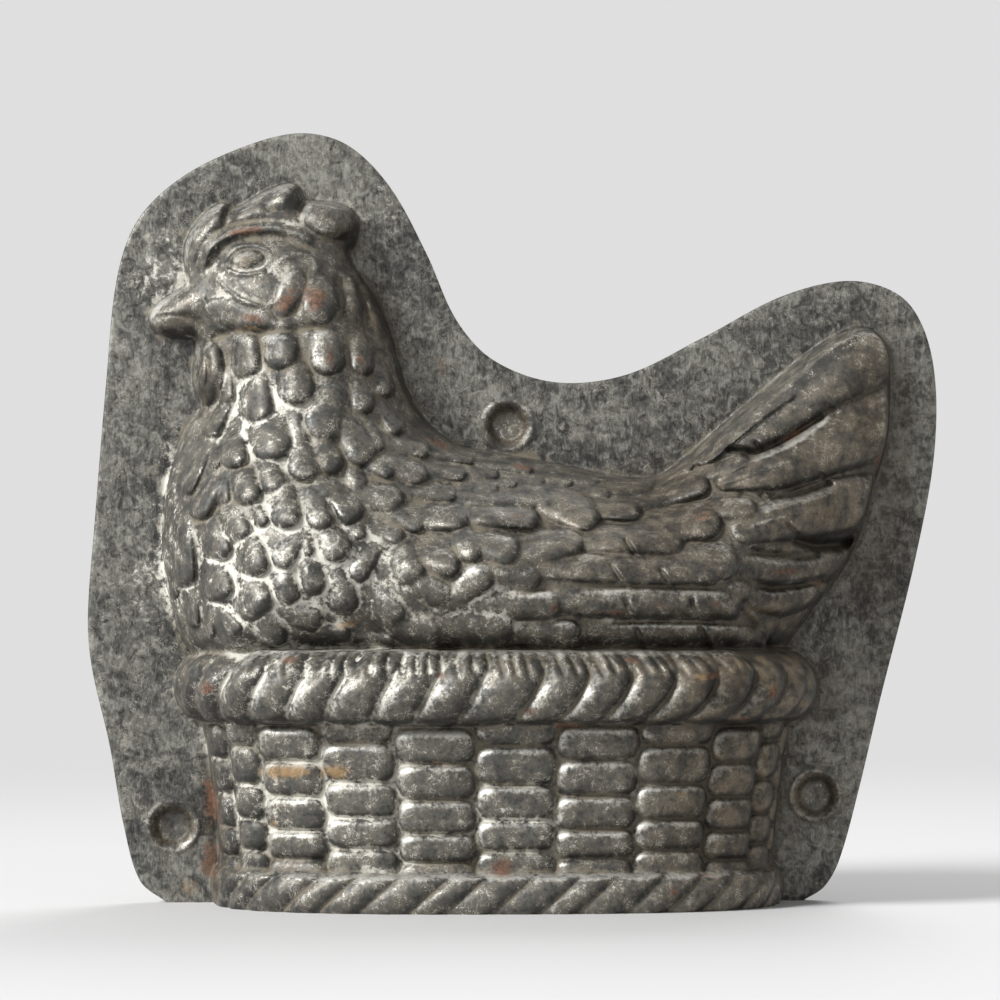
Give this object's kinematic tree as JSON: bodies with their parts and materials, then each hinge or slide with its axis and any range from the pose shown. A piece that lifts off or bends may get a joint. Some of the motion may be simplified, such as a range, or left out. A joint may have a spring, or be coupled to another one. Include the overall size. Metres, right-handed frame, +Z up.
{
  "type": "chocolate mould",
  "caption": "Two-part pressed tin chocolate mould shaped as a hen sitting on a woven basket, with flat flanges, locating dimples and an open foot to pour through.",
  "frame": {"origin": "middle of the bounding box at the plane of the open foot that the mould stands on", "axes": "+X along the hen towards its tail, +Y from the front half to the back half, +Z up; the halves meet at y = 0"},
  "size_m": [0.1439, 0.0732, 0.1299],
  "materials": {
    "front_tin": "tarnished tinned sheet, worn bright on the high points, pale residue and rust in the creases",
    "back_tin": "tarnished tinned sheet, worn bright on the high points, pale residue and rust in the creases"
  },
  "bodies": {
    "front": {"front_half": "front_tin"},
    "back": {"back_half": "back_tin"}
  },
  "joints": [
    {"name": "halves_part", "type": "slide", "parent": "front", "child": "back", "axis": [0, 1, 0], "range_m": [0, 0.08]}
  ]
}
